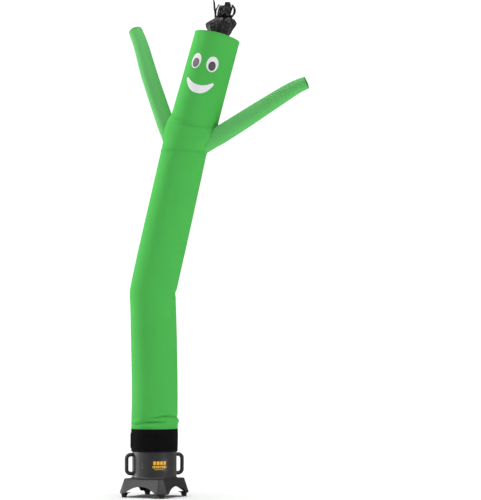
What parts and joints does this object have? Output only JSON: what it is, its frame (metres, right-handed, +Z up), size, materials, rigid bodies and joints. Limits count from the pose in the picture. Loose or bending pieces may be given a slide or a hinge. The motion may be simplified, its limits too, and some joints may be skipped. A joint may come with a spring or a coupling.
{
  "type": "inflatable air dancer on blower",
  "caption": "Tall hollow green cloth tube figure with two upraised sleeves, smiling doll face and black streamer hair, held by a black cuff on a round dark blower with handles",
  "frame": {"origin": "middle of the footprint's bounding box, on the ground plane that the four rubber feet stand on", "axes": "+Z up, +X to the viewer's right, +Y away from the viewer; the face looks towards -Y, turned 15 degrees to the viewer's left"},
  "size_m": [1.3476, 0.5865, 3.576],
  "materials": {
    "green_nylon": "thin ripstop nylon, soft sheen",
    "black_webbing": "matt brushed fastening fabric",
    "black_nylon": "crinkled thin nylon",
    "white_nylon": "plain thin nylon",
    "grey_nylon": "plain thin nylon",
    "dark_plastic": "pebbled moulded plastic",
    "loop_tape": "loop fastening tape",
    "label_film": null,
    "black_rubber": "matt moulded rubber",
    "screw_steel": "dark plated steel"
  },
  "bodies": {
    "root": {"body_tube": "green_nylon", "torso": "green_nylon", "head": "green_nylon", "head_top": "green_nylon", "arm_left": "green_nylon", "arm_right": "green_nylon", "cuff": "black_webbing", "hair_collar": "black_nylon", "hair": "black_nylon", "eye_left": "white_nylon", "eye_right": "white_nylon", "smile": "white_nylon", "pupil_left": "grey_nylon", "pupil_right": "grey_nylon", "barrel": "dark_plastic", "base": "dark_plastic", "handle_left": "dark_plastic", "handle_right": "dark_plastic", "loop_strip": "loop_tape", "label": "label_film", "foot_1": "black_rubber", "foot_2": "black_rubber", "foot_3": "black_rubber", "foot_4": "black_rubber", "screw_1": "screw_steel", "screw_2": "screw_steel", "screw_3": "screw_steel", "screw_4": "screw_steel", "screw_5": "screw_steel", "screw_6": "screw_steel", "screw_7": "screw_steel", "screw_8": "screw_steel"}
  },
  "joints": []
}
